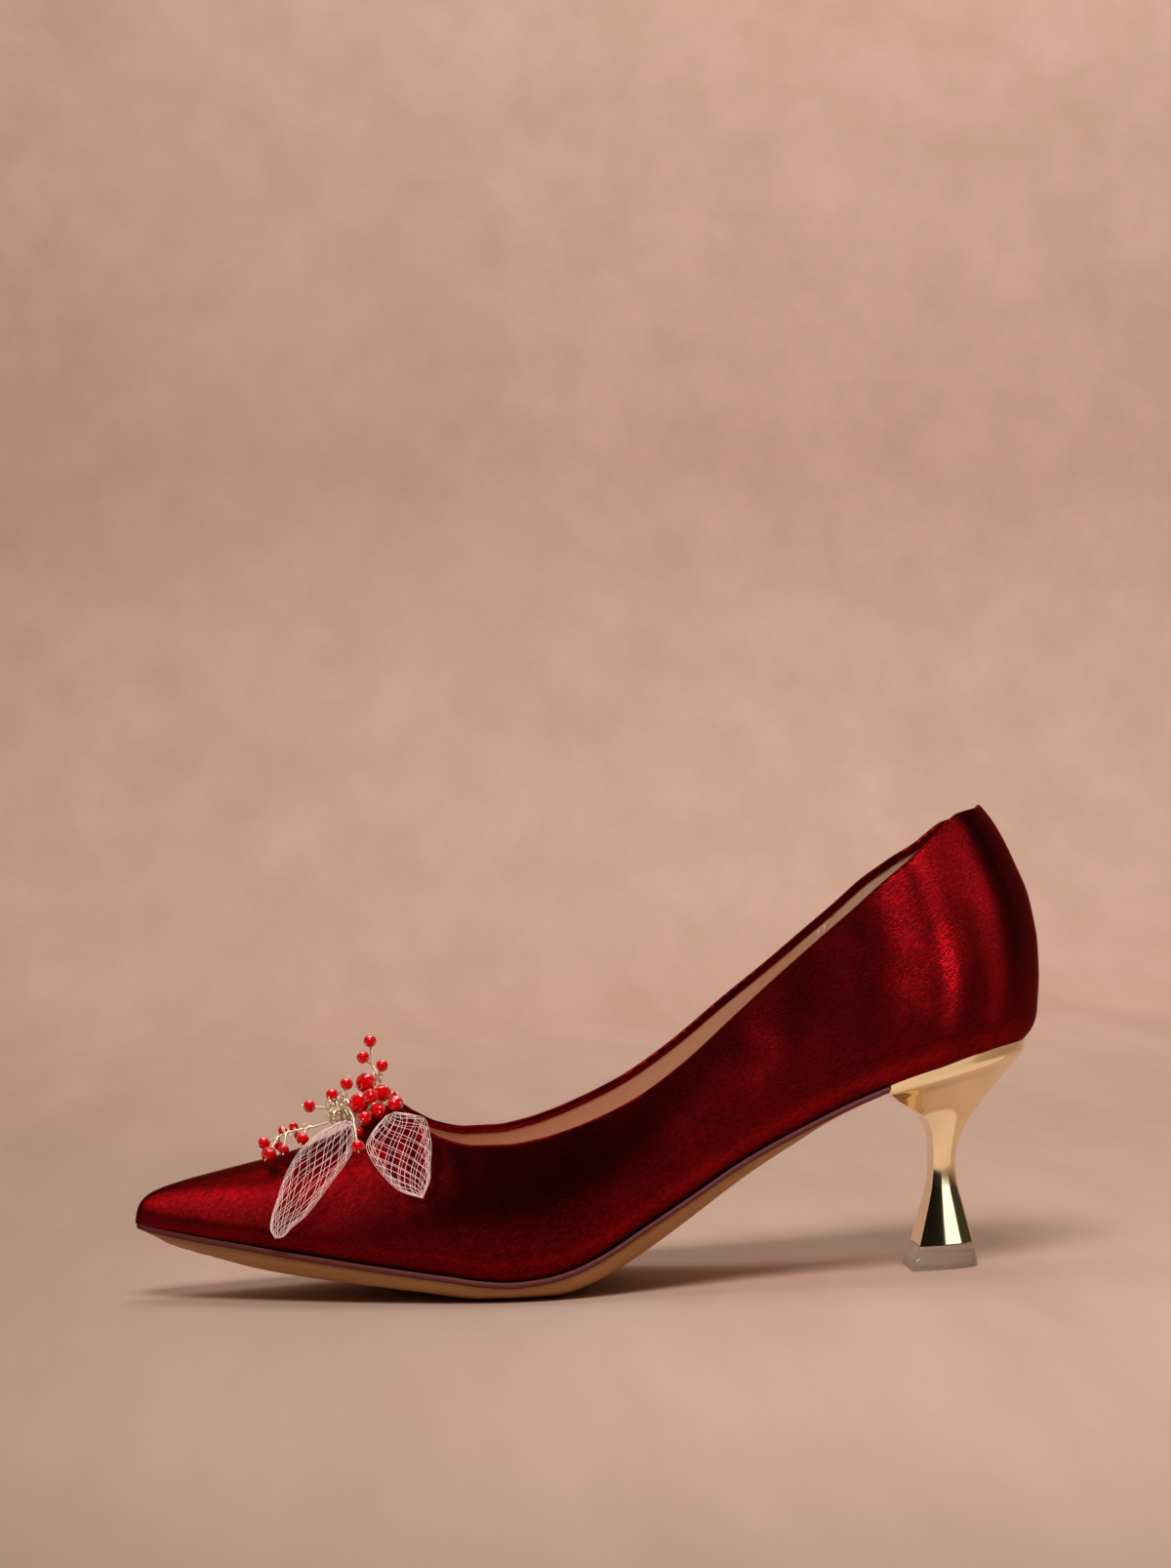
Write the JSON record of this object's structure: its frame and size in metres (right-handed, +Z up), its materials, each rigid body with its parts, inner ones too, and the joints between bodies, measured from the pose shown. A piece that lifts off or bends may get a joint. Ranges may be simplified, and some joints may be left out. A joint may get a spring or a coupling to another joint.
{
  "type": "wedding shoe",
  "caption": "Pointed-toe pump in dark red satin on a sculpted gold mid heel, with a spray of red glass beads on gold wire and net leaves at the throat.",
  "frame": {"origin": "on the floor under the middle of the shoe's bounding box", "axes": "+X from toe to heel, +Y towards the inner side of the foot, +Z up"},
  "size_m": [0.245, 0.074, 0.1246],
  "materials": {
    "satin": "dark red satin weave, smooth and half glossy",
    "sock": "smooth tan sock lining",
    "edge_paint": "painted plum edge",
    "tan_sole": "moulded tan unit, matt",
    "gold_plate": "bright gold plating over a moulded core",
    "clear_lift": "clear moulded lift, slightly frosted",
    "crin_net": "pale pink stiff net",
    "gold_wire": "bright twisted wire",
    "red_glass": "polished red beads"
  },
  "bodies": {
    "root": {"upper": "satin", "insole": "sock", "rand": "edge_paint", "outsole": "tan_sole", "heel": "gold_plate", "top_piece": "clear_lift", "leaf_toe": "crin_net", "leaf_throat": "crin_net", "wire_spray": "gold_wire", "bead_01": "red_glass", "bead_02": "red_glass", "bead_03": "red_glass", "bead_04": "red_glass", "bead_05": "red_glass", "bead_06": "red_glass", "bead_07": "red_glass", "bead_08": "red_glass", "bead_09": "red_glass", "bead_10": "red_glass", "bead_11": "red_glass", "bead_12": "red_glass", "bead_13": "red_glass", "bead_14": "red_glass", "bead_15": "red_glass", "bead_16": "red_glass", "bead_17": "red_glass", "bead_18": "red_glass", "bead_19": "red_glass", "bead_20": "red_glass", "bead_21": "red_glass", "bead_22": "red_glass", "bead_23": "red_glass", "bead_24": "red_glass", "bead_25": "red_glass"}
  },
  "joints": []
}
